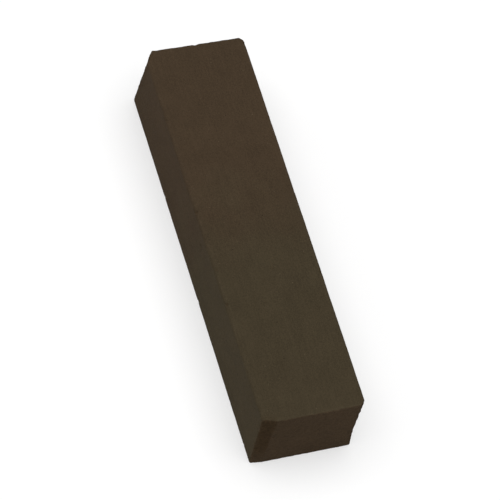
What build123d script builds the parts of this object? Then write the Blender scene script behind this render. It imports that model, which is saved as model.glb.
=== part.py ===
from build123d import *
from math import hypot
import os

# A short, thick stick of compressed charcoal for drawing. Millimetres.
# The stick lies on its broad face: +X along it, +Y across it, +Z up, origin at the middle of the
# face it rests on. Front and back are its ends at +X and -X, left and right its sides at -Y and +Y.
stick_length = 60.0
stick_width = 14.7
stick_height = 12.9

# The back end is a little out of square: the right side is shorter than the left by this much.
back_end_slant = 0.34

# The long arrises come out of the press crisp and wear round in the hand, one more than the rest.
arris_radius = 0.4
handled_arris_radius = 0.75
end_rim_radius = 0.2

# Each upright arris at an end has rubbed or broken away to a facet. Its two legs are measured at
# the top of the stick: along, on the stick's side, and across, on its end.
front_left_along = 0.75
front_left_across = 1.95
front_right_along = 0.65
front_right_across = 0.75
back_left_along = 1.75
back_left_across = 1.1
back_right_along = 0.75
back_right_across = 0.6

# A facet is shallower at the foot, by this share. It deepens up to a height, then stays as deep.
worn_foot_share = 0.4
back_left_foot_share = 0.28
flake_foot_share = 0.2
flake_height = 3.6

# How far a cutter stands clear of the stick.
overshoot = 2.0

# The corners of the outline, in order round it.
front_right = (stick_length / 2, stick_width / 2)
back_right = (-stick_length / 2 + back_end_slant, stick_width / 2)
back_left = (-stick_length / 2, -stick_width / 2)
front_left = (stick_length / 2, -stick_width / 2)


def take_off_corner(corner, along, across, foot_share, full_depth_height):
    """Cuts the facet of the upright arris that stands on one corner of the outline."""
    corner_foot = Vector(*corner)
    leg_line = hypot(along, across)
    depth = along * across / leg_line
    end_side = 1 if corner_foot.X > 0 else -1
    flank_side = 1 if corner_foot.Y > 0 else -1
    outward = Vector(end_side * across, flank_side * along) / leg_line
    upright_section = Plane(corner_foot, x_dir=outward, z_dir=outward.cross(Vector(0, 0, 1)))
    with BuildSketch(upright_section) as cutter_section:
        with BuildLine():
            Polyline(
                (-depth * foot_share, -overshoot),
                (-depth * foot_share, 0),
                (-depth, full_depth_height),
                (-depth, stick_height + overshoot),
                (overshoot, stick_height + overshoot),
                (overshoot, -overshoot),
                close=True,
            )
        make_face()
    extrude(cutter_section.sketch, amount=leg_line + overshoot, both=True, mode=Mode.SUBTRACT)


with BuildPart() as charcoal_stick:
    with BuildSketch(Plane.XY):
        with BuildLine():
            Polyline(front_right, back_right, back_left, front_left, close=True)
        make_face()
    extrude(amount=stick_height)

    # The upper left arris is the one that the fingers have rounded most.
    handled_arris = charcoal_stick.edges().filter_by(Axis.X).group_by(Axis.Z)[-1].sort_by(Axis.Y)[0]
    fillet(handled_arris, radius=handled_arris_radius)
    lower_arrises = charcoal_stick.edges().filter_by(Axis.X).group_by(Axis.Z)[0]
    fillet(lower_arrises, radius=arris_radius)
    upper_right_arris = charcoal_stick.edges().filter_by(Axis.X).group_by(Axis.Z)[-1].sort_by(Axis.Y)[-1]
    fillet(upper_right_arris, radius=arris_radius)

    # The rims of the two ends keep a finer edge.
    fillet(charcoal_stick.faces().sort_by(Axis.X)[-1].edges(), radius=end_rim_radius)
    fillet(charcoal_stick.faces().sort_by(Axis.X)[0].edges(), radius=end_rim_radius)

    take_off_corner(front_left, front_left_along, front_left_across, worn_foot_share, stick_height)
    take_off_corner(front_right, front_right_along, front_right_across, flake_foot_share, flake_height)
    take_off_corner(back_left, back_left_along, back_left_across, back_left_foot_share, stick_height)
    take_off_corner(back_right, back_right_along, back_right_across, worn_foot_share, stick_height)

charcoal_stick.part.label = "charcoal_stick"
os.makedirs("parts", exist_ok=True)
export_step(charcoal_stick.part, "parts/charcoal_stick.step")
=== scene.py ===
"""The looks of a short, thick stick of compressed charcoal for drawing.

The stick is one pressed block with no case, core or wrapper. Its visible body is grown by a tree of
geometry nodes from the size that the frame gives: a block with rounded arrises and rims, four worn
corners at its ends, chips along its arrises and the slight unevenness of a pressed, cut surface.
"""

import logging
import math
from dataclasses import dataclass
from enum import Enum
from functools import partial
from typing import Any, Union

import bmesh
import bpy
from mathutils import Matrix, Vector


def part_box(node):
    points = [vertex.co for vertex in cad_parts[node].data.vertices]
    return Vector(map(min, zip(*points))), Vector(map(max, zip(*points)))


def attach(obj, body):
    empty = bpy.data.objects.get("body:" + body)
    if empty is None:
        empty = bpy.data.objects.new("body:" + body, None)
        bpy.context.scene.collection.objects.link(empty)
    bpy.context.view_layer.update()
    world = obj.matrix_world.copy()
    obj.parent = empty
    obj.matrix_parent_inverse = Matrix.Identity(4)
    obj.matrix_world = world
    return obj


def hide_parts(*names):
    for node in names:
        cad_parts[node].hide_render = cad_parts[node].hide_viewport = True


MM = 0.001
BODY = "root"
NODE = "charcoal_stick"
WHITE = (1.0, 1.0, 1.0, 1.0)

Tree = bpy.types.NodeTree
# What carries a value between nodes: a socket, or a node for the first output that it uses.
Wire = Union[bpy.types.Node, bpy.types.NodeSocket]

log = logging.getLogger("charcoal_stick")
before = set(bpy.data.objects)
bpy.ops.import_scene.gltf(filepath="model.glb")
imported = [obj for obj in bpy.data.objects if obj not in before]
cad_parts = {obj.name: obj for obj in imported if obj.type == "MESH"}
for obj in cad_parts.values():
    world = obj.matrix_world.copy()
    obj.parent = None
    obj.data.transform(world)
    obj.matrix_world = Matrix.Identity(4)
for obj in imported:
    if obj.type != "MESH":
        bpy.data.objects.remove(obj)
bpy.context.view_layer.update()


class End(Enum):
    """An end of the stick, as the sign of X there."""

    FRONT = 1
    BACK = -1


class Side(Enum):
    """A long side of the stick, as the sign of Y there."""

    RIGHT = 1
    LEFT = -1


class Mask(Enum):
    """What the body's mesh tells its finish about each point, as a named attribute."""

    ARRIS = "near_arris"
    # Where the skin is broken: the inside's darker colour there is partly painted shade, on the worn
    # facets and deep in the hollows.
    BROKEN = "broken"
    CUT = "cut_end"


def add_node(tree: Tree, kind: str, settings: dict[str, Any] | None = None,
             inputs: dict[int | str, Any] | None = None) -> bpy.types.Node:
    """Adds one node to a tree, with its settings and its links.

    Args:
        tree: The tree that the node joins.
        kind: The node's type, such as "ShaderNodeMath".
        settings: The node's own properties, by name.
        inputs: What each input holds, by its place or its name. A wire is linked, and anything else
            is the input's value.

    Returns:
        The new node.
    """
    node = tree.nodes.new(kind)
    for name, value in (settings or {}).items():
        setattr(node, name, value)
    for key, value in (inputs or {}).items():
        if isinstance(key, int):
            socket = node.inputs[key]
        else:
            socket = next(s for s in node.inputs if s.enabled and s.name == key)
        if isinstance(value, bpy.types.Node):
            value = next(s for s in value.outputs if s.enabled)
        if isinstance(value, bpy.types.NodeSocket):
            tree.links.new(value, socket)
        else:
            socket.default_value = value
    return node


def new_geometry_tree(name: str, inputs: dict[str, str]) -> tuple[Tree, dict[str, Wire]]:
    """Starts a tree of geometry nodes that takes a mesh and named inputs and gives a mesh.

    Args:
        name: The tree's name.
        inputs: Each named input after the mesh, with the type of its socket.

    Returns:
        The tree, and what its inputs give inside it, by name.
    """
    tree = bpy.data.node_groups.new(name, "GeometryNodeTree")
    tree.interface.new_socket("Mesh", in_out="INPUT", socket_type="NodeSocketGeometry")
    for label, kind in inputs.items():
        tree.interface.new_socket(label, in_out="INPUT", socket_type=kind)
    tree.interface.new_socket("Mesh", in_out="OUTPUT", socket_type="NodeSocketGeometry")
    group = add_node(tree, "NodeGroupInput")
    return tree, {socket.name: socket for socket in group.outputs}


def linear(hex_colour: str) -> tuple[float, float, float, float]:
    """Turns an sRGB hex colour to linear light.

    Args:
        hex_colour: Six hex digits after a hash sign.

    Returns:
        Linear red, green and blue, and an alpha of 1.
    """
    def channel(start: int) -> float:
        """Gives one channel, from the place of its first digit."""
        value = int(hex_colour[start:start + 2], 16) / 255
        return value / 12.92 if value <= 0.04045 else ((value + 0.055) / 1.055) ** 2.4

    return channel(1), channel(3), channel(5), 1.0


def direction(azimuth: float, elevation: float) -> Vector:
    """Gives the way from the stick to a place round it.

    Args:
        azimuth: Degrees round from -Y towards +X.
        elevation: Degrees above the floor.

    Returns:
        A vector of length 1.
    """
    turn, tip = math.radians(azimuth), math.radians(elevation)
    return Vector((math.sin(turn) * math.cos(tip), -math.cos(turn) * math.cos(tip), math.sin(tip)))


@dataclass(frozen=True)
class WornCorner:
    """One upright arris at an end of the stick, rubbed or broken away to a facet. Sizes in mm.

    The facet's legs are measured from the sharp corner: along, on the long side, and across, on the
    end. They grow from the foot up to full_height and stay the same above it. Grain is how rough the
    break is.
    """

    end: End
    side: Side
    along: float
    across: float
    foot_along: float
    foot_across: float
    full_height: float
    grain: float


@dataclass(frozen=True)
class Break:
    """What the breaks at all the worn corners have in common. Widths in mm, and the rest are shares."""

    edge_wander_width: float = 0.9
    grit_width: float = 0.6
    pull_width: float = 6.0
    bruise_width: float = 1.4
    bruise: float = 0.3
    # The facet runs out softly on the end, over these shares of its width.
    soft_edge: float = 0.06
    marked_edge: float = 0.04
    # The foot is rubbed clean up to the first share of the full height, and fresh from the second.
    foot_freshness: float = 0.2
    rubbed_up_to: float = 0.05
    fresh_from: float = 0.36

    def tree(self) -> Tree:
        """Makes the tree that draws one end's skin back to a corner's facet.

        Points slide along X alone, so the long sides stay flat, and the mesh stays even.

        Returns:
            The tree, with the corner's sizes as its inputs.
        """
        names = ("End", "Side", "Half Length", "Half Width", "Half Height", "Along", "Across",
                 "Foot Along", "Foot Across", "Full Height", "Grain")
        tree, given = new_geometry_tree("worn_corner", dict.fromkeys(names, "NodeSocketFloat"))
        add = partial(add_node, tree)
        here = add("GeometryNodeInputPosition")
        place = add("ShaderNodeSeparateXYZ", inputs={0: here}).outputs
        height = add("ShaderNodeMath", {"operation": "ADD"}, {0: place[2], 1: given["Half Height"]})
        rise = add("ShaderNodeMath", {"operation": "DIVIDE", "use_clamp": True}, {
            0: height, 1: given["Full Height"]})
        along = add("ShaderNodeMix", inputs={
            "Factor": rise, "A": given["Foot Along"], "B": given["Along"]})
        even = add("ShaderNodeMix", inputs={
            "Factor": rise, "A": given["Foot Across"], "B": given["Across"]})
        # The break wanders, so the facet's long edge is ragged.
        ragged = add("ShaderNodeTexNoise", {"noise_dimensions": "3D"}, {
            "Scale": 1 / (self.edge_wander_width * MM), "Detail": 3.0, "Roughness": 0.6})
        wander = add("ShaderNodeMapRange", inputs={"Value": ragged, "To Min": -1.0, "To Max": 1.0})
        across = add("ShaderNodeMath", {"operation": "MULTIPLY_ADD"}, {
            0: wander, 1: given["Grain"], 2: even})

        # How far the point stands inside the long side, and inside the end.
        sideways = add("ShaderNodeMath", {"operation": "MULTIPLY"}, {0: place[1], 1: given["Side"]})
        inside_side = add("ShaderNodeMath", {"operation": "SUBTRACT"}, {
            0: given["Half Width"], 1: sideways})
        endways = add("ShaderNodeMath", {"operation": "MULTIPLY"}, {0: place[0], 1: given["End"]})
        inside_end = add("ShaderNodeMath", {"operation": "SUBTRACT"}, {
            0: given["Half Length"], 1: endways})

        # The facet's depth, from 1 at the corner to 0 where it runs out on the end.
        share = add("ShaderNodeMath", {"operation": "DIVIDE"}, {0: inside_side, 1: across})
        left = add("ShaderNodeMath", {"operation": "SUBTRACT"}, {0: 1.0, 1: share})
        facet = add("ShaderNodeMath", {"operation": "SMOOTH_MAX"}, {0: left, 1: 0.0, 2: self.soft_edge})
        on_facet = add("ShaderNodeMapRange", {"interpolation_type": "SMOOTHSTEP"}, {
            "Value": left, "From Min": 0.0, "From Max": self.marked_edge})
        smooth_depth = add("ShaderNodeMath", {"operation": "MULTIPLY"}, {0: facet, 1: along})
        grit = add("ShaderNodeTexNoise", {"noise_dimensions": "3D"}, {
            "Scale": 1 / (self.grit_width * MM), "Detail": 4.0, "Roughness": 0.65})
        lowest_grit = add("ShaderNodeMath", {"operation": "MULTIPLY"}, {0: given["Grain"], 1: -0.5})
        grit_depth = add("ShaderNodeMath", {"operation": "MULTIPLY_ADD"}, {
            0: grit, 1: given["Grain"], 2: lowest_grit})
        depth = add("ShaderNodeMath", {"operation": "MULTIPLY_ADD"}, {
            0: on_facet, 1: grit_depth, 2: smooth_depth})

        # The pull fades behind the end, so that rows bunch up and none cross.
        pull = add("ShaderNodeMapRange", inputs={
            "Value": inside_end, "From Max": self.pull_width * MM, "To Min": 1.0, "To Max": 0.0})
        pulled = add("ShaderNodeMath", {"operation": "MULTIPLY"}, {0: depth, 1: pull})
        inwards = add("ShaderNodeMath", {"operation": "MULTIPLY"}, {0: given["End"], 1: -1.0})
        shift = add("ShaderNodeMath", {"operation": "MULTIPLY"}, {0: pulled, 1: inwards})

        # The break is the end's own skin within the facet's legs, and the skin beside it is bruised. This
        # mask darkens them in the finish, partly as the inside's own colour and partly as painted shade on
        # the facet.
        on_end = add("GeometryNodeInputNamedAttribute", {"data_type": "FLOAT"}, {
            "Name": Mask.CUT.value})
        above_foot = add("ShaderNodeMapRange", {"interpolation_type": "SMOOTHSTEP"}, {
            "Value": rise, "From Min": self.rubbed_up_to, "From Max": self.fresh_from,
            "To Min": self.foot_freshness})
        on_break_and_shade = add("ShaderNodeMath", {"operation": "MULTIPLY"}, {0: on_facet, 1: above_foot})
        bruise = add("ShaderNodeMapRange", {"interpolation_type": "SMOOTHSTEP"}, {
            "Value": inside_end, "From Max": self.bruise_width * MM, "To Min": self.bruise, "To Max": 0.0})
        opened = add("ShaderNodeMath", {"operation": "MAXIMUM"}, {0: on_end, 1: bruise})
        broken = add("ShaderNodeMath", {"operation": "MULTIPLY"}, {0: opened, 1: on_break_and_shade})
        before = add("GeometryNodeInputNamedAttribute", {"data_type": "FLOAT"}, {
            "Name": Mask.BROKEN.value})
        most = add("ShaderNodeMath", {"operation": "MAXIMUM"}, {0: before, 1: broken})
        marked = add("GeometryNodeStoreNamedAttribute", {"data_type": "FLOAT", "domain": "POINT"}, {
            "Geometry": given["Mesh"], "Name": Mask.BROKEN.value, "Value": most})
        offset = add("ShaderNodeCombineXYZ", inputs={0: shift})
        moved = add("GeometryNodeSetPosition", inputs={"Geometry": marked, "Offset": offset})
        add("NodeGroupOutput", inputs={0: moved})
        return tree


@dataclass(frozen=True)
class Scoops:
    """Small hollows at random places, along the arrises or in the faces. Sizes in mm, density per mm2.

    Each is pressed by a ball, to a share of the ball's radius. Freshness is how much of the stick's
    inside the hollow shows, darkest where the hollow is deepest: partly the inside's colour, partly
    painted shade.
    """

    density: float
    near_arris: bool
    smallest: float
    largest: float
    depth_share: float
    freshness_and_shade: float
    seed: int


@dataclass(frozen=True)
class Knock:
    """What all the hollows have in common. Widths and depths in mm."""

    arris_width: float = 0.22
    ragged_width: float = 0.4
    raggedness: float = 0.3
    rarity: float = 3.0
    soft_depth: float = 0.04
    fresh_depth: float = 0.08

    def tree(self) -> Tree:
        """Makes the tree that knocks small round hollows out of a mesh at random places.

        Returns:
            The tree, with the hollows' sizes, number and seed as its inputs.
        """
        kinds = dict.fromkeys(("Density", "Smallest", "Largest", "Depth Share", "Freshness"),
                              "NodeSocketFloat")
        kinds |= {"Near Arris": "NodeSocketBool", "Seed": "NodeSocketInt"}
        tree, given = new_geometry_tree("scoops", kinds)
        add = partial(add_node, tree)
        arris = add("GeometryNodeInputNamedAttribute", {"data_type": "FLOAT"}, {
            "Name": Mask.ARRIS.value})
        band = add("FunctionNodeCompare", {"data_type": "FLOAT", "operation": "LESS_THAN"}, {
            0: arris, 1: self.arris_width * MM})
        wanted = add("FunctionNodeBooleanMath", {"operation": "XNOR"}, {
            0: band, 1: given["Near Arris"]})
        scattered = add("GeometryNodeDistributePointsOnFaces", {"distribute_method": "RANDOM"}, {
            "Mesh": given["Mesh"], "Selection": wanted, "Density": given["Density"],
            "Seed": given["Seed"]}).outputs

        # Most hollows are small, so the random share is raised to a power. The balls stand outside.
        chance = add("FunctionNodeRandomValue", {"data_type": "FLOAT"}, {"Seed": given["Seed"]})
        rare = add("ShaderNodeMath", {"operation": "POWER"}, {0: chance, 1: self.rarity})
        radius = add("ShaderNodeMix", inputs={
            "Factor": rare, "A": given["Smallest"], "B": given["Largest"]})
        sized = add("GeometryNodeStoreNamedAttribute", {"data_type": "FLOAT", "domain": "POINT"}, {
            "Geometry": scattered["Points"], "Name": "ball_radius", "Value": radius})
        proud = add("ShaderNodeMath", {"operation": "SUBTRACT"}, {0: 1.0, 1: given["Depth Share"]})
        stand_off = add("ShaderNodeMath", {"operation": "MULTIPLY"}, {0: radius, 1: proud})
        outward = add("ShaderNodeVectorMath", {"operation": "SCALE"}, {
            "Vector": scattered["Normal"], "Scale": stand_off})
        balls = add("GeometryNodeSetPosition", inputs={"Geometry": sized, "Offset": outward})

        # Each point of the mesh looks for the nearest ball.
        here = add("GeometryNodeInputPosition")
        nearest = add("GeometryNodeSampleNearest", {"domain": "POINT"}, {
            "Geometry": balls, "Sample Position": here})
        centre = add("GeometryNodeSampleIndex", {"data_type": "FLOAT_VECTOR", "domain": "POINT"}, {
            "Geometry": balls, "Value": here, "Index": nearest})
        ball_radius = add("GeometryNodeInputNamedAttribute", {"data_type": "FLOAT"}, {
            "Name": "ball_radius"})
        reach = add("GeometryNodeSampleIndex", {"data_type": "FLOAT", "domain": "POINT"}, {
            "Geometry": balls, "Value": ball_radius, "Index": nearest})
        ragged = add("ShaderNodeTexNoise", {"noise_dimensions": "3D"}, {
            "Scale": 1 / (self.ragged_width * MM), "Detail": 2.0})
        swell = add("ShaderNodeMapRange", inputs={
            "Value": ragged, "To Min": 1 - self.raggedness, "To Max": 1 + self.raggedness})
        edge = add("ShaderNodeMath", {"operation": "MULTIPLY"}, {0: reach, 1: swell})
        away = add("ShaderNodeVectorMath", {"operation": "SUBTRACT"}, {0: here, 1: centre})
        gap = add("ShaderNodeVectorMath", {"operation": "LENGTH"}, {0: away}).outputs["Value"]
        depth = add("ShaderNodeMath", {"operation": "SUBTRACT"}, {0: edge, 1: gap})

        # A point inside a ball moves out to the ball's skin, which is into the stick.
        moved = add("ShaderNodeMath", {"operation": "SMOOTH_MAX"}, {
            0: depth, 1: 0.0, 2: self.soft_depth * MM})
        way = add("ShaderNodeVectorMath", {"operation": "NORMALIZE"}, {0: away})
        offset = add("ShaderNodeVectorMath", {"operation": "SCALE"}, {"Vector": way, "Scale": moved})
        # The deeper a point lies in a hollow, the more it is marked broken, and the darker the finish
        # paints it: the inside's own colour, and painted shade in the hollow.
        fresh = add("ShaderNodeMapRange", {"interpolation_type": "SMOOTHSTEP"}, {
            "Value": depth, "From Max": self.fresh_depth * MM, "To Max": given["Freshness"]})
        before = add("GeometryNodeInputNamedAttribute", {"data_type": "FLOAT"}, {
            "Name": Mask.BROKEN.value})
        most = add("ShaderNodeMath", {"operation": "MAXIMUM"}, {0: before, 1: fresh})
        marked = add("GeometryNodeStoreNamedAttribute", {"data_type": "FLOAT", "domain": "POINT"}, {
            "Geometry": given["Mesh"], "Name": Mask.BROKEN.value, "Value": most})
        knocked = add("GeometryNodeSetPosition", inputs={"Geometry": marked, "Offset": offset})
        add("NodeGroupOutput", inputs={0: knocked})
        return tree


@dataclass(frozen=True)
class Wave:
    """A noise that moves the skin in and out: its width and height in mm, its fineness and its place."""

    width: float
    height: float
    detail: float
    only_on: Mask | None = None


@dataclass
class StickBody:
    """The pressed block itself, as one closed mesh. Sizes in mm, but for those that the frame gives."""

    low: Vector
    high: Vector
    arris_radius: float = 0.34
    handled_arris_radius: float = 0.75
    end_rim_radius: float = 0.2
    # Along an arris, its radius swings between these shares of itself, over this length.
    least_radius: float = 0.3
    most_radius: float = 1.7
    radius_swing: float = 5.0
    front_end_slant: float = 0.12
    back_end_slant: float = 0.34
    end_skin: float = 0.1
    row_spacing: float = 0.2
    # 1 would space the rows evenly, and less crowds them towards the arrises.
    crowding: float = 0.35
    corners: tuple[WornCorner, ...] = (
        WornCorner(End.FRONT, Side.LEFT, along=0.75, across=1.95, foot_along=0.25, foot_across=1.7,
                   full_height=12.9, grain=0.16),
        WornCorner(End.FRONT, Side.RIGHT, along=0.65, across=0.75, foot_along=0.05, foot_across=0.3,
                   full_height=4.0, grain=0.1),
        WornCorner(End.BACK, Side.LEFT, along=1.75, across=1.1, foot_along=0.5, foot_across=0.3,
                   full_height=12.9, grain=0.1),
        WornCorner(End.BACK, Side.RIGHT, along=0.7, across=0.58, foot_along=0.35, foot_across=0.3,
                   full_height=12.9, grain=0.1),
    )
    waves: tuple[Wave, ...] = (
        Wave(width=9.0, height=0.06, detail=1.0),
        Wave(width=1.4, height=0.035, detail=3.0),
        Wave(width=0.6, height=0.12, detail=4.0, only_on=Mask.CUT),
        Wave(width=0.5, height=0.3, detail=4.0, only_on=Mask.BROKEN),
    )
    scoops: tuple[Scoops, ...] = (
        Scoops(density=0.9, near_arris=True, smallest=0.14, largest=0.5, depth_share=0.32,
               freshness_and_shade=0.7, seed=5),
        Scoops(density=0.02, near_arris=False, smallest=0.4, largest=1.2, depth_share=0.06,
               freshness_and_shade=0.15, seed=11),
    )

    @property
    def size(self) -> Vector:
        """Length, width and height in metres."""
        return self.high - self.low

    def crowded_block(self, tree: Tree, given: dict[str, Wire]) -> tuple[Wire, Wire, Wire]:
        """Grows a sharp block whose rows of points crowd towards its arrises.

        Args:
            tree: The body's tree.
            given: The body tree's inputs.

        Returns:
            The block with its points in place and marked, its half size, and the points' places.
        """
        add = partial(add_node, tree)
        cube = add("GeometryNodeMeshCube", inputs={
            "Size": (2.0, 2.0, 2.0), "Vertices X": given["Rows Along"],
            "Vertices Y": given["Rows Across"], "Vertices Z": given["Rows Up"]})
        # A point at u moves to u (a + (1 - a)(3 - u^2) / 2), which keeps -1, 0 and 1 in place.
        share = add("GeometryNodeInputPosition")
        square = add("ShaderNodeVectorMath", {"operation": "MULTIPLY"}, {0: share, 1: share})
        slope = (1 - self.crowding) / 2
        bend = add("ShaderNodeVectorMath", {"operation": "MULTIPLY_ADD"}, {
            0: square, 1: (-slope,) * 3, 2: (self.crowding + 3 * slope,) * 3})
        crowded = add("ShaderNodeVectorMath", {"operation": "MULTIPLY"}, {0: share, 1: bend})
        size = add("ShaderNodeCombineXYZ", inputs={
            0: given["Length"], 1: given["Width"], 2: given["Height"]})
        half = add("ShaderNodeVectorMath", {"operation": "SCALE"}, {"Vector": size, "Scale": 0.5})
        placed = add("ShaderNodeVectorMath", {"operation": "MULTIPLY"}, {0: crowded, 1: half})
        block = add("GeometryNodeSetPosition", inputs={"Geometry": cube, "Position": placed})

        # Of a point's three distances to the block's sides, the middle one is its distance to an arris.
        place = add("GeometryNodeInputPosition")
        reach = add("ShaderNodeVectorMath", {"operation": "ABSOLUTE"}, {0: place})
        inside = add("ShaderNodeVectorMath", {"operation": "SUBTRACT"}, {0: half, 1: reach})
        gaps = add("ShaderNodeSeparateXYZ", inputs={0: inside}).outputs
        lesser = add("ShaderNodeMath", {"operation": "MINIMUM"}, {0: gaps[0], 1: gaps[1]})
        greater = add("ShaderNodeMath", {"operation": "MAXIMUM"}, {0: gaps[0], 1: gaps[1]})
        capped = add("ShaderNodeMath", {"operation": "MINIMUM"}, {0: greater, 1: gaps[2]})
        middle = add("ShaderNodeMath", {"operation": "MAXIMUM"}, {0: lesser, 1: capped})
        on_end = add("ShaderNodeMapRange", inputs={
            "Value": gaps[0], "From Max": self.end_skin * MM, "To Min": 1.0, "To Max": 0.0})
        for mask, value in ((Mask.ARRIS, middle), (Mask.CUT, on_end), (Mask.BROKEN, 0.0)):
            block = add("GeometryNodeStoreNamedAttribute", {"data_type": "FLOAT", "domain": "POINT"}, {
                "Geometry": block, "Name": mask.value, "Value": value})
        return block, half, place

    def rounded(self, tree: Tree, given: dict[str, Wire], half: Wire, place: Wire) -> Wire:
        """Rounds the long arrises, then the rims of the two ends.

        Args:
            tree: The body's tree.
            given: The body tree's inputs.
            half: The block's half size.
            place: The points' places on the sharp block.

        Returns:
            The points' places on the rounded block.
        """
        add = partial(add_node, tree)
        parts = add("ShaderNodeSeparateXYZ", inputs={0: place}).outputs
        left = add("ShaderNodeMath", {"operation": "LESS_THAN"}, {0: parts[1], 1: 0.0})
        upper = add("ShaderNodeMath", {"operation": "GREATER_THAN"}, {0: parts[2], 1: 0.0})
        handled = add("ShaderNodeMath", {"operation": "MULTIPLY"}, {0: left, 1: upper})
        plain = add("ShaderNodeMix", inputs={
            "Factor": handled, "A": given["Arris Radius"], "B": given["Handled Arris Radius"]})
        wander = add("ShaderNodeTexNoise", {"noise_dimensions": "3D"}, {
            "Vector": place, "Scale": 1 / (self.radius_swing * MM), "Detail": 5.0, "Roughness": 0.65})
        swing = add("ShaderNodeMapRange", inputs={
            "Value": wander, "To Min": self.least_radius, "To Max": self.most_radius})
        radius = add("ShaderNodeMath", {"operation": "MULTIPLY"}, {0: plain, 1: swing})

        # Beyond the inner box, square corners shrink on to the arc of the arris.
        inset = add("ShaderNodeCombineXYZ", inputs={1: radius, 2: radius})
        inner = add("ShaderNodeVectorMath", {"operation": "SUBTRACT"}, {0: half, 1: inset})
        outer = add("ShaderNodeVectorMath", {"operation": "SCALE"}, {"Vector": inner, "Scale": -1.0})
        raised = add("ShaderNodeVectorMath", {"operation": "MAXIMUM"}, {0: place, 1: outer})
        held = add("ShaderNodeVectorMath", {"operation": "MINIMUM"}, {0: raised, 1: inner})
        excess = add("ShaderNodeVectorMath", {"operation": "SUBTRACT"}, {0: place, 1: held})
        beside = add("ShaderNodeVectorMath", {"operation": "ABSOLUTE"}, {0: excess})
        legs = add("ShaderNodeSeparateXYZ", inputs={0: beside}).outputs
        longest = add("ShaderNodeMath", {"operation": "MAXIMUM"}, {0: legs[1], 1: legs[2]})
        across = add("ShaderNodeVectorMath", {"operation": "NORMALIZE"}, {0: excess})
        on_arc = add("ShaderNodeVectorMath", {"operation": "SCALE"}, {
            "Vector": across, "Scale": longest})
        arris = add("ShaderNodeVectorMath", {"operation": "ADD"}, {0: held, 1: on_arc})

        # The rim does the same with the depths behind the end and inside the outline.
        rim = add("ShaderNodeMath", {"operation": "MULTIPLY"}, {0: given["End Rim Radius"], 1: swing})
        reach = add("ShaderNodeMath", {"operation": "ABSOLUTE"}, {0: parts[0]})
        half_length = add("ShaderNodeSeparateXYZ", inputs={0: half}).outputs[0]
        behind = add("ShaderNodeMath", {"operation": "SUBTRACT"}, {0: half_length, 1: reach})
        inside = add("ShaderNodeMath", {"operation": "SUBTRACT"}, {0: radius, 1: longest})
        spare = []
        for gap in (behind, inside):
            left_over = add("ShaderNodeMath", {"operation": "SUBTRACT"}, {0: rim, 1: gap})
            spare.append(add("ShaderNodeMath", {"operation": "MAXIMUM"}, {0: left_over, 1: 0.0}))
        pair = add("ShaderNodeCombineXYZ", inputs={0: spare[0], 1: spare[1]})
        span = add("ShaderNodeVectorMath", {"operation": "LENGTH"}, {0: pair}).outputs["Value"]
        arc = add("ShaderNodeVectorMath", {"operation": "NORMALIZE"}, {0: pair})
        target = add("ShaderNodeVectorMath", {"operation": "SCALE"}, {"Vector": arc, "Scale": rim})
        beyond = add("ShaderNodeMath", {"operation": "GREATER_THAN"}, {0: span, 1: rim})
        drop = add("ShaderNodeVectorMath", {"operation": "SUBTRACT"}, {0: pair, 1: target})
        dropped = add("ShaderNodeVectorMath", {"operation": "SCALE"}, {"Vector": drop, "Scale": beyond})
        move = add("ShaderNodeSeparateXYZ", inputs={0: dropped}).outputs
        sign = add("ShaderNodeMath", {"operation": "SIGN"}, {0: parts[0]})
        inward_x = add("ShaderNodeMath", {"operation": "MULTIPLY"}, {0: move[0], 1: sign})
        inward = add("ShaderNodeVectorMath", {"operation": "SCALE"}, {
            "Vector": across, "Scale": move[1]})
        along = add("ShaderNodeCombineXYZ", inputs={0: inward_x})
        both = add("ShaderNodeVectorMath", {"operation": "ADD"}, {0: along, 1: inward})
        return add("ShaderNodeVectorMath", {"operation": "SUBTRACT"}, {0: arris, 1: both})

    def slanted(self, tree: Tree, given: dict[str, Wire], place: Wire) -> Wire:
        """Draws one side of each end in, so that the ends are out of square.

        Args:
            tree: The body's tree.
            given: The body tree's inputs.
            place: The points' places.

        Returns:
            The points' new places.
        """
        add = partial(add_node, tree)
        parts = add("ShaderNodeSeparateXYZ", inputs={0: place}).outputs
        across = add("ShaderNodeMath", {"operation": "DIVIDE"}, {0: parts[1], 1: given["Width"]})
        along = add("ShaderNodeMath", {"operation": "DIVIDE"}, {0: parts[0], 1: given["Length"]})
        # The left side is drawn in at the front end, and the right side at the back end.
        for end, slant in ((End.FRONT.value, "Front End Slant"), (End.BACK.value, "Back End Slant")):
            share = add("ShaderNodeMath", {"operation": "MULTIPLY_ADD"}, {0: across, 1: -end, 2: 0.5})
            pull = add("ShaderNodeMath", {"operation": "MULTIPLY", "use_clamp": True}, {
                0: along, 1: 2 * end})
            pulled = add("ShaderNodeMath", {"operation": "MULTIPLY"}, {0: share, 1: pull})
            shift = add("ShaderNodeMath", {"operation": "MULTIPLY"}, {0: pulled, 1: given[slant]})
            inwards = add("ShaderNodeMath", {"operation": "MULTIPLY"}, {0: shift, 1: -end})
            offset = add("ShaderNodeCombineXYZ", inputs={0: inwards})
            place = add("ShaderNodeVectorMath", {"operation": "ADD"}, {0: place, 1: offset})
        return place

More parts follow.
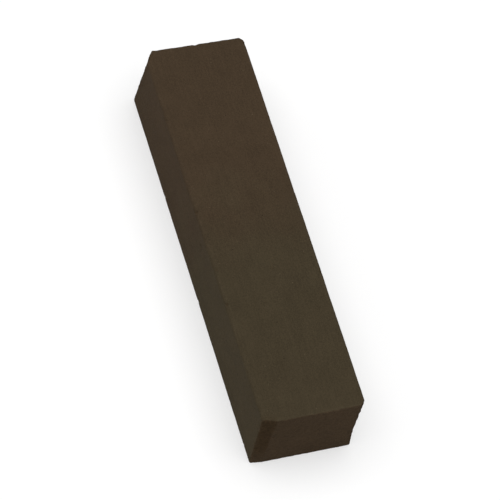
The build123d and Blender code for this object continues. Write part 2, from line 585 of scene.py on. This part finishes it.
    def uneven(self, tree: Tree, mesh: Wire) -> Wire:
        """Waves the skin in and out by hundredths of a millimetre, more on the ends and the breaks.

        Args:
            tree: The body's tree.
            mesh: The body so far.

        Returns:
            The body with its skin waved.
        """
        add = partial(add_node, tree)
        depth: Wire | float = 0.0
        for wave in self.waves:
            noise = add("ShaderNodeTexNoise", {"noise_dimensions": "3D"}, {
                "Scale": 1 / (wave.width * MM), "Detail": wave.detail, "Roughness": 0.6})
            swing = add("ShaderNodeMath", {"operation": "SUBTRACT"}, {0: noise, 1: 0.5})
            if wave.only_on is not None:
                mask = add("GeometryNodeInputNamedAttribute", {"data_type": "FLOAT"}, {
                    "Name": wave.only_on.value})
                swing = add("ShaderNodeMath", {"operation": "MULTIPLY"}, {0: swing, 1: mask})
            depth = add("ShaderNodeMath", {"operation": "MULTIPLY_ADD"}, {
                0: swing, 1: wave.height * MM, 2: depth})
        normal = add("GeometryNodeInputNormal")
        offset = add("ShaderNodeVectorMath", {"operation": "SCALE"}, {"Vector": normal, "Scale": depth})
        return add("GeometryNodeSetPosition", inputs={"Geometry": mesh, "Offset": offset})

    def tree(self) -> Tree:
        """Makes the body's tree, from the crowded block to the finished skin.

        Returns:
            The tree, with the stick's sizes and finish as its inputs.
        """
        lengths = ("Length", "Width", "Height", "Arris Radius", "Handled Arris Radius", "End Rim Radius",
                   "Front End Slant", "Back End Slant")
        kinds = dict.fromkeys(lengths, "NodeSocketFloat")
        kinds |= dict.fromkeys(("Rows Along", "Rows Across", "Rows Up"), "NodeSocketInt")
        kinds["Finish"] = "NodeSocketMaterial"
        tree, given = new_geometry_tree("pressed_stick", kinds)
        add = partial(add_node, tree)
        block, half, place = self.crowded_block(tree, given)
        shaped = self.slanted(tree, given, self.rounded(tree, given, half, place))
        mesh = add("GeometryNodeSetPosition", inputs={"Geometry": block, "Position": shaped})
        halves = add("ShaderNodeSeparateXYZ", inputs={0: half}).outputs
        corner_tree = Break().tree()
        for corner in self.corners:
            mesh = add("GeometryNodeGroup", {"node_tree": corner_tree}, {
                "Mesh": mesh, "End": corner.end.value, "Side": corner.side.value,
                "Half Length": halves[0], "Half Width": halves[1], "Half Height": halves[2],
                "Along": corner.along * MM, "Across": corner.across * MM,
                "Foot Along": corner.foot_along * MM, "Foot Across": corner.foot_across * MM,
                "Full Height": corner.full_height * MM, "Grain": corner.grain * MM})
        mesh = self.uneven(tree, mesh)
        scoop_tree = Knock().tree()
        for scoops in self.scoops:
            mesh = add("GeometryNodeGroup", {"node_tree": scoop_tree}, {
                "Mesh": mesh, "Density": scoops.density / MM ** 2, "Near Arris": scoops.near_arris,
                "Smallest": scoops.smallest * MM, "Largest": scoops.largest * MM,
                "Depth Share": scoops.depth_share, "Freshness": scoops.freshness_and_shade,
                "Seed": scoops.seed})
        # The block grows round its own middle, and is then lifted to stand on the floor.
        lift = add("ShaderNodeCombineXYZ", inputs={2: halves[2]})
        stood = add("GeometryNodeSetPosition", inputs={"Geometry": mesh, "Offset": lift})
        smooth = add("GeometryNodeSetShadeSmooth", inputs={"Geometry": stood})
        real = add("GeometryNodeRealizeInstances", inputs={"Geometry": smooth})
        dressed = add("GeometryNodeSetMaterial", inputs={"Geometry": real, "Material": given["Finish"]})
        add("NodeGroupOutput", inputs={0: dressed})
        return tree

    def build(self, finish: bpy.types.Material) -> bpy.types.Object:
        """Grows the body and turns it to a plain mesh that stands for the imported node.

        Args:
            finish: The body's finish.

        Returns:
            The finished piece.
        """
        tree = self.tree()
        rows = [round(extent / (self.row_spacing * MM)) + 1 for extent in self.size]
        values = {
            "Length": self.size.x, "Width": self.size.y, "Height": self.size.z,
            "Arris Radius": self.arris_radius * MM,
            "Handled Arris Radius": self.handled_arris_radius * MM,
            "End Rim Radius": self.end_rim_radius * MM,
            "Front End Slant": self.front_end_slant * MM,
            "Back End Slant": self.back_end_slant * MM,
            "Rows Along": rows[0], "Rows Across": rows[1], "Rows Up": rows[2],
            "Finish": finish,
        }
        grower = bpy.data.objects.new("stick_grower", bpy.data.meshes.new("stick_seed"))
        bpy.context.scene.collection.objects.link(grower)
        modifier = grower.modifiers.new("pressed_stick", "NODES")
        modifier.node_group = tree
        for socket in tree.interface.items_tree:
            if socket.in_out == "INPUT" and socket.name in values:
                modifier[socket.identifier] = values[socket.name]
        evaluated = grower.evaluated_get(bpy.context.evaluated_depsgraph_get())
        mesh = bpy.data.meshes.new_from_object(evaluated)
        bpy.data.objects.remove(grower)
        mesh.name = "stick_body"
        body = bpy.data.objects.new("stick_body", mesh)
        bpy.context.scene.collection.objects.link(body)
        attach(body, BODY)
        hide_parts(NODE)
        log.info("%s: %d points, %d faces", body.name, len(mesh.vertices), len(mesh.polygons))
        return body


@dataclass(frozen=True)
class Mottle:
    """A cloudy pattern: its largest spots' width in mm, and how many finer ones lie over them."""

    size: float
    detail: float

    def draw(self, tree: Tree, place: Wire) -> Wire:
        """Draws the pattern, stretched to swing from about -1 to 1.

        Args:
            tree: The finish's tree.
            place: The point's place on the stick.

        Returns:
            The pattern's value.
        """
        noise = add_node(tree, "ShaderNodeTexNoise", {"noise_dimensions": "3D"}, {
            "Vector": place, "Scale": 1 / (self.size * MM), "Detail": self.detail, "Roughness": 0.6})
        return add_node(tree, "ShaderNodeMapRange", inputs={
            "Value": noise, "From Min": 0.3, "From Max": 0.7, "To Min": -1.0, "To Max": 1.0})


@dataclass(frozen=True)
class Streaks:
    """Fine lines: a mottle stretched along one axis. Sizes in mm."""

    width: float
    length: float
    axis: str

    def draw(self, tree: Tree, place: Wire) -> Wire:
        """Draws the lines.

        Args:
            tree: The finish's tree.
            place: The point's place on the stick.

        Returns:
            The lines' value, from about -1 to 1.
        """
        scale = [self.width / self.length if name == self.axis else 1.0 for name in "XYZ"]
        stretched = add_node(tree, "ShaderNodeMapping", inputs={"Vector": place, "Scale": scale})
        return Mottle(self.width, detail=2.0).draw(tree, stretched)


@dataclass(frozen=True)
class Spots:
    """Small round spots of many sizes, one at most to each cell of the surface. Sizes in mm.

    Spacing is the cells' width, radius the largest spot's, and bare the share of cells with no spot.
    """

    spacing: float
    radius: float
    bare: float

    def draw(self, tree: Tree, place: Wire) -> Wire:
        """Draws the spots.

        Args:
            tree: The finish's tree.
            place: The point's place on the stick.

        Returns:
            How far the point is in a spot, from 0 to 1.
        """
        cells = add_node(tree, "ShaderNodeTexVoronoi", {"voronoi_dimensions": "3D", "feature": "F1"}, {
            "Vector": place, "Scale": 1 / (self.spacing * MM)}).outputs
        chance = add_node(tree, "ShaderNodeSeparateColor", inputs={0: cells["Color"]})
        reach = add_node(tree, "ShaderNodeMapRange", inputs={
            "Value": chance, "From Min": self.bare, "From Max": 1.0, "To Min": 0.0,
            "To Max": self.radius / self.spacing})
        return add_node(tree, "ShaderNodeMapRange", {"interpolation_type": "SMOOTHSTEP"}, {
            "Value": cells["Distance"], "From Max": reach, "To Min": 1.0, "To Max": 0.0})


@dataclass(frozen=True)
class PressedCharcoal:
    """Compressed charcoal: charcoal powder and a little clay, pressed in a die, cut and dried.

    The die leaves a close, matte brown-black skin, finely speckled, with faint lines along the press
    direction and a few pores, painted near black as painted shade in their pits. Grain, lines and crumbs
    are painted darker where low and paler where high: their own tone, and painted shade and light on the
    relief. Cut ends are drier and grittier. Where an arris has broken, the inside of the stick shows:
    darker and crumbly, partly its own colour and partly painted shade. Fingers leave the arrises a little
    paler and smoother, and pale dust settles in the hollows. Sizes in mm.
    """

    skin: str = "#43372a"
    clay_skin: str = "#41392b"
    dust: str = "#7a6c59"
    # The inside's colour, darker than the skin: partly its own colour, partly painted shade for a rough
    # break's self-shadowing and lack of sheen.
    broken: str = "#392d1f"
    # Near black: painted shade in the pits of the pores.
    pore_shade: str = "#120d08"
    ior: float = 1.45
    # A powdery skin scatters light and hardly mirrors the room, so this is far below a solid's.
    specular_level: float = 0.02
    skin_roughness: float = 0.85
    cut_roughness: float = 0.95
    cloud: Mottle = Mottle(9.0, detail=2.0)
    smudge: Mottle = Mottle(2.4, detail=3.0)
    crumb: Mottle = Mottle(0.5, detail=3.0)
    # Charcoal is ground to about 0.05 mm, too fine to show, so grain and powder are clusters of it.
    grain: Mottle = Mottle(0.24, detail=2.0)
    powder: Mottle = Mottle(0.1, detail=1.0)
    press_lines: Streaks = Streaks(width=0.35, length=12.0, axis="X")
    saw_lines: Streaks = Streaks(width=0.3, length=9.0, axis="Y")
    pores: Spots = Spots(spacing=1.1, radius=0.13, bare=0.75)
    flecks: Spots = Spots(spacing=0.55, radius=0.1, bare=0.8)
    # How much each pattern shades the colour. Grain, lines and crumbs shade it in step with their relief,
    # so their low parts carry painted shade and their crests painted light, besides their own tone.
    cloud_shade: float = 0.05
    smudge_shade: float = 0.05
    grain_shade: float = 0.12
    powder_shade: float = 0.2
    line_shade: float = 0.04
    crumb_shade: float = 0.14
    # How much dust lies on a rubbed arris and in a fleck, and how much smoother rubbing leaves it.
    rubbed_width: float = 0.5
    rubbed_dust: float = 0.06
    rubbed_polish: float = 0.12
    fleck_dust: float = 0.5
    smudge_roughness: float = 0.05
    # A sawn end opens the inside only in part, so it takes this share of the inside's darker colour, which
    # is partly painted shade.
    sawn_open: float = 0.2
    # The clay in the skin shows a little greener, from the first place along the stick to the second.
    clay_from: float = -12.0
    clay_to: float = 8.0
    clay_wander: float = 4.0
    grain_height: float = 0.009
    line_height: float = 0.005
    crumb_height: float = 0.03
    pore_depth: float = 0.04

    def build(self) -> bpy.types.Material:
        """Makes the finish.

        Returns:
            The material.
        """
        material = bpy.data.materials.new("compressed_charcoal")
        material.use_nodes = True
        tree = material.node_tree
        tree.nodes.clear()
        add = partial(add_node, tree)
        place = add("ShaderNodeTexCoord").outputs["Object"]
        masks = {mask: add("ShaderNodeAttribute", {"attribute_name": mask.value}).outputs["Fac"]
                 for mask in Mask}
        coarse = add("ShaderNodeMath", {"operation": "MAXIMUM"}, {
            0: masks[Mask.BROKEN], 1: masks[Mask.CUT]})
        rubbed = add("ShaderNodeMapRange", {"interpolation_type": "SMOOTHSTEP"}, {
            "Value": masks[Mask.ARRIS], "From Max": self.rubbed_width * MM, "To Min": 1.0,
            "To Max": 0.0})
        cloud = self.cloud.draw(tree, place)
        smudge = self.smudge.draw(tree, place)
        grain = self.grain.draw(tree, place)
        crumb = self.crumb.draw(tree, place)
        powder = self.powder.draw(tree, place)
        pressed = self.press_lines.draw(tree, place)
        sawn = self.saw_lines.draw(tree, place)
        lines = add("ShaderNodeMix", inputs={"Factor": masks[Mask.CUT], "A": pressed, "B": sawn})
        crumbly = add("ShaderNodeMath", {"operation": "MULTIPLY"}, {0: crumb, 1: coarse})
        pores = self.pores.draw(tree, place)
        flecks = self.flecks.draw(tree, place)

        # Each pattern swings from -1 to 1 and shades the colour by its own share. For the grain, lines and
        # crumbs that is painted shade in their low parts and painted light on their crests, as well as
        # tone.
        shade: Wire | float = 1.0
        for pattern, share in ((cloud, self.cloud_shade), (smudge, self.smudge_shade),
                               (grain, self.grain_shade), (powder, self.powder_shade),
                               (lines, self.line_shade), (crumbly, self.crumb_shade)):
            shade = add("ShaderNodeMath", {"operation": "MULTIPLY_ADD"}, {
                0: pattern, 1: share, 2: shade})
        patch = add("ShaderNodeMath", {"operation": "MULTIPLY_ADD", "use_clamp": True}, {
            0: smudge, 1: 0.5, 2: 0.5})
        worn = add("ShaderNodeMath", {"operation": "MULTIPLY"}, {0: rubbed, 1: patch})
        in_flecks = add("ShaderNodeMath", {"operation": "MULTIPLY"}, {0: flecks, 1: self.fleck_dust})
        dusty = add("ShaderNodeMath", {"operation": "MULTIPLY_ADD"}, {
            0: worn, 1: self.rubbed_dust, 2: in_flecks})
        # The broken skin, and a share of the sawn ends, take the inside's darker colour: partly its own,
        # partly painted shade.
        opened = add("ShaderNodeMath", {"operation": "MULTIPLY"}, {
            0: masks[Mask.CUT], 1: self.sawn_open})
        bare = add("ShaderNodeMath", {"operation": "MAXIMUM"}, {0: masks[Mask.BROKEN], 1: opened})

        # The clay's border along the stick is cloudy, and the sawn ends have no clay skin.
        along = add("ShaderNodeSeparateXYZ", inputs={0: place}).outputs[0]
        border = add("ShaderNodeMath", {"operation": "MULTIPLY_ADD"}, {
            0: cloud, 1: self.clay_wander * MM, 2: along})
        clay = add("ShaderNodeMapRange", {"interpolation_type": "SMOOTHSTEP"}, {
            "Value": border, "From Min": self.clay_from * MM, "From Max": self.clay_to * MM})
        on_skin = add("ShaderNodeMath", {"operation": "SUBTRACT"}, {0: clay, 1: masks[Mask.CUT]})
        outside = add("ShaderNodeMix", {"data_type": "RGBA", "clamp_factor": True}, {
            "Factor": on_skin, "A": linear(self.skin), "B": linear(self.clay_skin)})
        inside = add("ShaderNodeMix", {"data_type": "RGBA"}, {
            "Factor": bare, "A": outside, "B": linear(self.broken)})
        powdered = add("ShaderNodeMix", {"data_type": "RGBA"}, {
            "Factor": dusty, "A": inside, "B": linear(self.dust)})
        shaded = add("ShaderNodeVectorMath", {"operation": "SCALE"}, {
            "Vector": powdered, "Scale": shade})
        # The pores are painted near black, a painted shade in their pits.
        pit_shaded = add("ShaderNodeMix", {"data_type": "RGBA"}, {
            "Factor": pores, "A": shaded, "B": linear(self.pore_shade)})

        dry = add("ShaderNodeMix", inputs={
            "Factor": coarse, "A": self.skin_roughness, "B": self.cut_roughness})
        polished = add("ShaderNodeMath", {"operation": "MULTIPLY_ADD"}, {
            0: worn, 1: -self.rubbed_polish, 2: dry})
        roughness = add("ShaderNodeMath", {"operation": "MULTIPLY_ADD", "use_clamp": True}, {
            0: smudge, 1: self.smudge_roughness, 2: polished})

        # Each pattern raises the skin by its own height, and the pores sink it.
        height: Wire | float = 0.0
        for pattern, rise in ((grain, self.grain_height), (lines, self.line_height),
                              (crumbly, self.crumb_height), (pores, -self.pore_depth)):
            height = add("ShaderNodeMath", {"operation": "MULTIPLY_ADD"}, {
                0: pattern, 1: rise * MM, 2: height})
        relief = add("ShaderNodeBump", inputs={"Height": height, "Distance": 1.0, "Strength": 1.0})
        shader = add("ShaderNodeBsdfPrincipled", inputs={
            "Base Color": pit_shaded, "Roughness": roughness, "IOR": self.ior,
            "Specular IOR Level": self.specular_level, "Normal": relief})
        add("ShaderNodeOutputMaterial", inputs={"Surface": shader.outputs[0]})
        return material


@dataclass(frozen=True)
class OpalAcrylic:
    """A light table's top: matte opal acrylic lit from below, which looks white and has no shine."""

    colour: str = "#c4c4c4"
    roughness: float = 0.9
    glow: float = 0.45

    def build(self) -> bpy.types.Material:
        """Makes the floor's finish.

        Returns:
            The material.
        """
        material = bpy.data.materials.new("lit_opal_acrylic")
        material.use_nodes = True
        tree = material.node_tree
        tree.nodes.clear()
        shader = add_node(tree, "ShaderNodeBsdfPrincipled", inputs={
            "Base Color": linear(self.colour), "Roughness": self.roughness, "Specular IOR Level": 0.0,
            "Emission Color": WHITE, "Emission Strength": self.glow})
        add_node(tree, "ShaderNodeOutputMaterial", inputs={"Surface": shader.outputs[0]})
        return material


@dataclass(frozen=True)
class SoftLight:
    """A far round softbox. Angles in degrees.

    Brightness is what it adds to a surface that faces it, and softness is how wide it looks.
    """

    name: str
    azimuth: float
    elevation: float
    brightness: float
    softness: float

    def build(self) -> bpy.types.Object:
        """Hangs the light, facing the stick.

        Returns:
            The light.
        """
        data = bpy.data.lights.new(self.name, "SUN")
        data.energy = self.brightness * math.pi
        data.angle = math.radians(self.softness)
        light = bpy.data.objects.new(self.name, data)
        bpy.context.scene.collection.objects.link(light)
        out = direction(self.azimuth, self.elevation)
        light.location = out
        light.rotation_euler = (-out).to_track_quat("-Z", "Y").to_euler()
        return light


@dataclass(frozen=True)
class Studio:
    """A pale floor lit from within, soft light and the camera. Sizes in metres, angles in degrees."""

    floor_reach: float = 1.5
    wall_glow: float = 1.0
    ceiling_glow: float = 0.12
    # The walls turn to ceiling between these two heights, given as sines of the elevation.
    wall_top: float = 0.03
    ceiling_foot: float = 0.1
    lights: tuple[SoftLight, ...] = (
        SoftLight("overhead", azimuth=0.0, elevation=90.0, brightness=0.84, softness=70.0),
        SoftLight("left_key", azimuth=-20.0, elevation=45.0, brightness=0.14, softness=50.0),
    )
    azimuth: float = 57.56
    elevation: float = 60.22
    roll: float = 18.1
    distance: float = 0.5266
    lens: float = 270.1
    aim: tuple[float, float, float] = (0.00058, 0.00044, 0.0063)

    def build_floor(self) -> bpy.types.Object:
        """Lays a wide pale floor under the stick.

        Returns:
            The floor.
        """
        mesh = bpy.data.meshes.new("floor")
        shape = bmesh.new()
        bmesh.ops.create_grid(shape, x_segments=8, y_segments=8, size=self.floor_reach)
        shape.to_mesh(mesh)
        shape.free()
        floor = bpy.data.objects.new("floor", mesh)
        bpy.context.scene.collection.objects.link(floor)
        mesh.materials.append(OpalAcrylic().build())
        return floor

    def build_light(self) -> None:
        """Hangs the soft lights and sets the room: white walls round the floor, and a dimmer ceiling."""
        world = bpy.data.worlds.new("room")
        world.use_nodes = True
        bpy.context.scene.world = world
        tree = world.node_tree
        tree.nodes.clear()
        add = partial(add_node, tree)
        way = add("ShaderNodeTexCoord").outputs["Generated"]
        height = add("ShaderNodeSeparateXYZ", inputs={0: way}).outputs[2]
        glow = add("ShaderNodeMapRange", {"interpolation_type": "SMOOTHSTEP"}, {
            "Value": height, "From Min": self.wall_top, "From Max": self.ceiling_foot,
            "To Min": self.wall_glow, "To Max": self.ceiling_glow})
        room = add("ShaderNodeBackground", inputs={"Color": WHITE, "Strength": glow})
        add("ShaderNodeOutputWorld", inputs={"Surface": room})
        for light in self.lights:
            light.build()
        bpy.context.scene.view_settings.view_transform = "Standard"

    def build_camera(self) -> bpy.types.Object:
        """Sets the camera at its viewing angle, leaning by its roll.

        Returns:
            The camera.
        """
        data = bpy.data.cameras.new("camera")
        data.lens = self.lens
        data.sensor_width = 36.0
        data.clip_start = 0.01
        data.clip_end = 10.0
        camera = bpy.data.objects.new("camera", data)
        bpy.context.scene.collection.objects.link(camera)
        back = direction(self.azimuth, self.elevation)
        facing = (-back).to_track_quat("-Z", "Y").to_matrix().to_4x4()
        lean = Matrix.Rotation(math.radians(self.roll), 4, "Z")
        camera.matrix_world = Matrix.Translation(Vector(self.aim) + back * self.distance) @ facing @ lean
        bpy.context.scene.camera = camera
        return camera


def main() -> None:
    """Builds the stick and the studio round it."""
    logging.basicConfig(level=logging.INFO, format="%(name)s: %(message)s")
    low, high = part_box(NODE)
    studio = Studio()
    studio.build_camera()
    studio.build_floor()
    studio.build_light()
    StickBody(low, high).build(PressedCharcoal().build())


if __name__ == "__main__":
    main()
